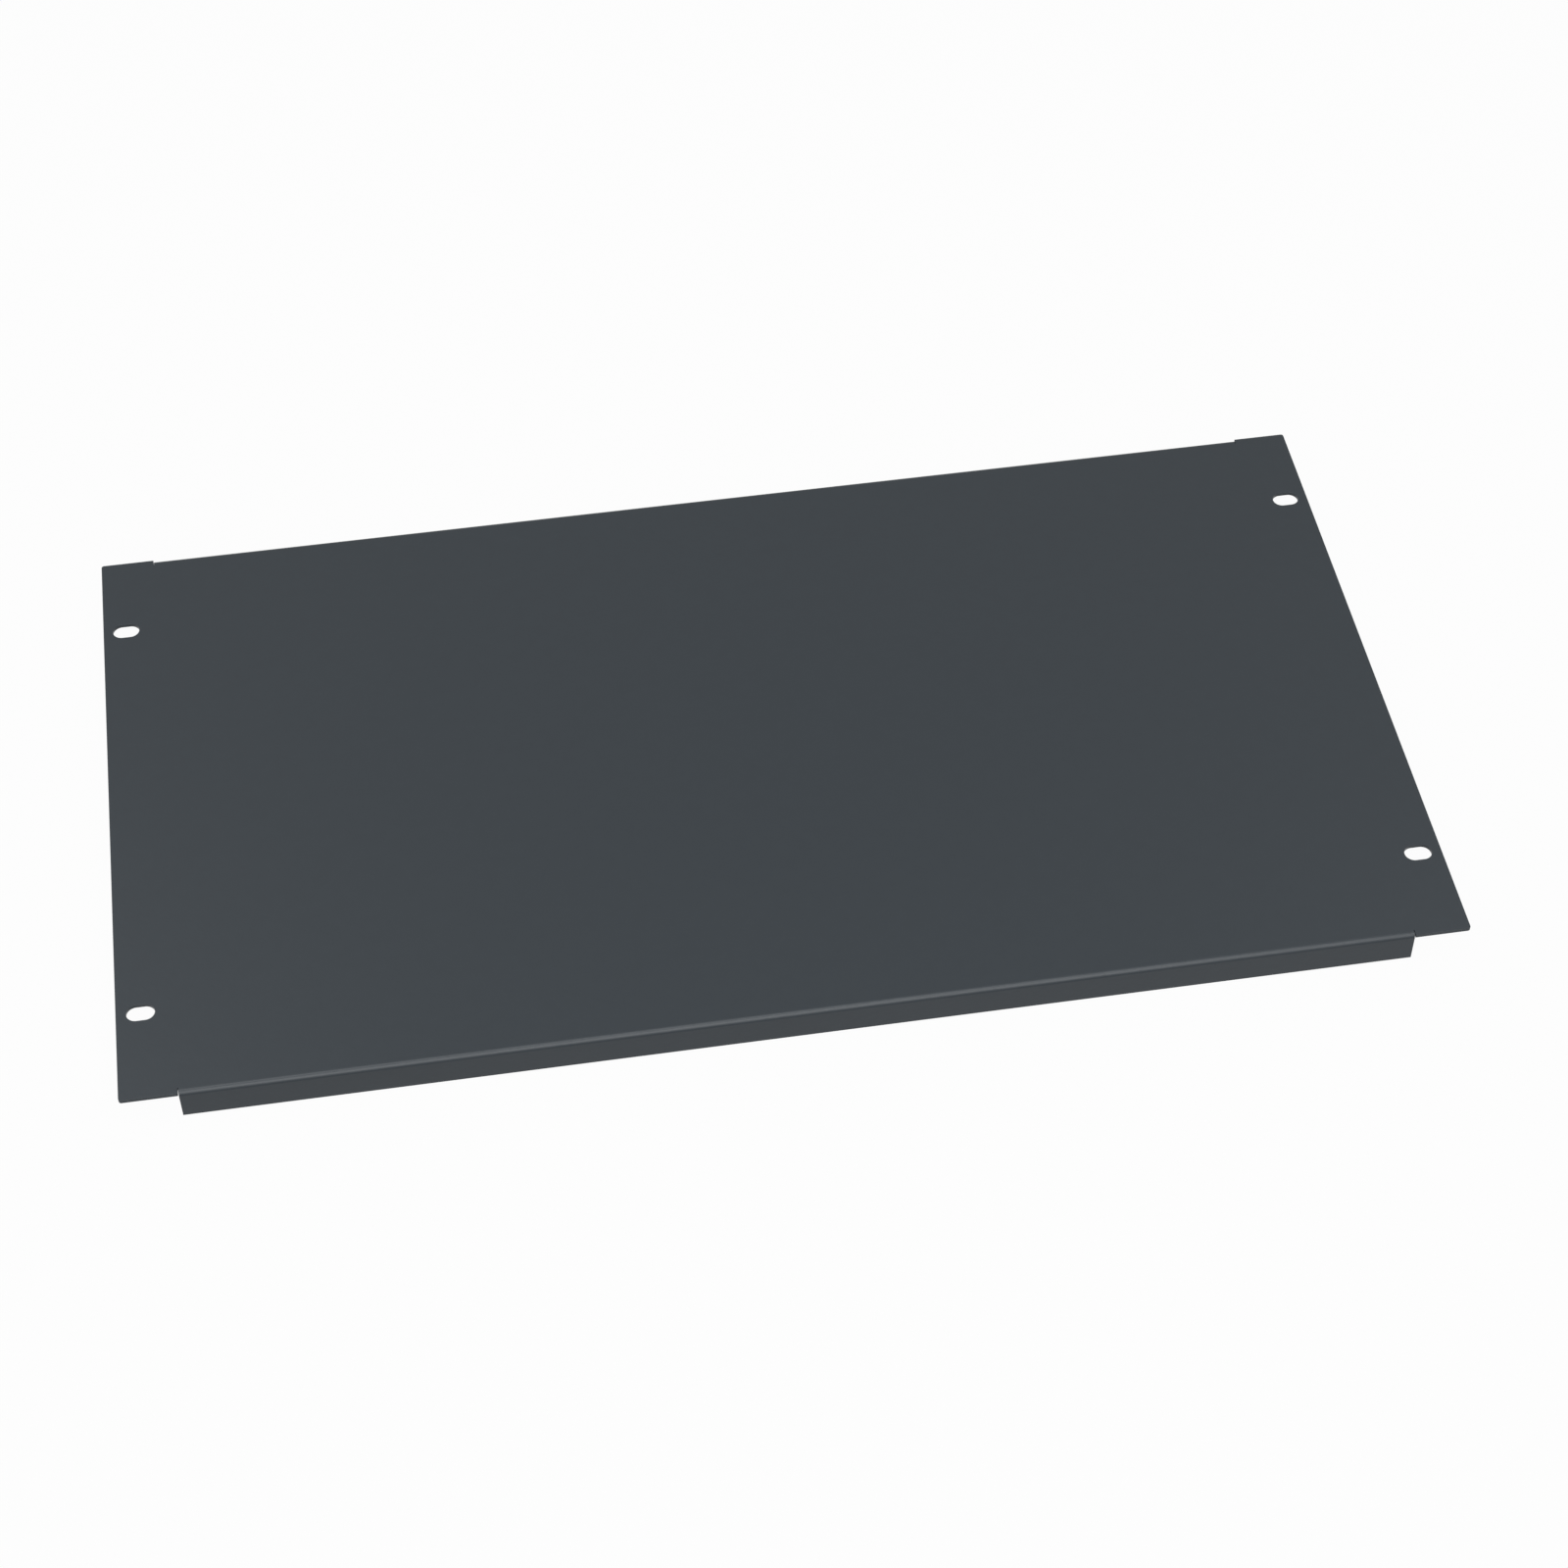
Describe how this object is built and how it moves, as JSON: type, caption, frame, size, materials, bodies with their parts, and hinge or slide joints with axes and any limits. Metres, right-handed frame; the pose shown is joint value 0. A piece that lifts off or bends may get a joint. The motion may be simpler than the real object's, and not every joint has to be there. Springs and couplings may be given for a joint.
{
  "type": "rack blanking panel",
  "caption": "Folded steel blanking panel for a 19 inch equipment rack, with slotted ears and a shallow flange folded back along each long edge.",
  "frame": {"origin": "under the middle of the face, on the plane that the free edges of the two flanges stand on", "axes": "+X across the panel from side to side, +Y up its height as it hangs in a rack, +Z out of the front face; it lies face up"},
  "size_m": [0.4826, 0.266, 0.0127],
  "materials": {
    "powder_coat": "fine matte charcoal powder coat on sheet steel, all over"
  },
  "bodies": {
    "root": {"blanking_panel": "powder_coat"}
  },
  "joints": []
}
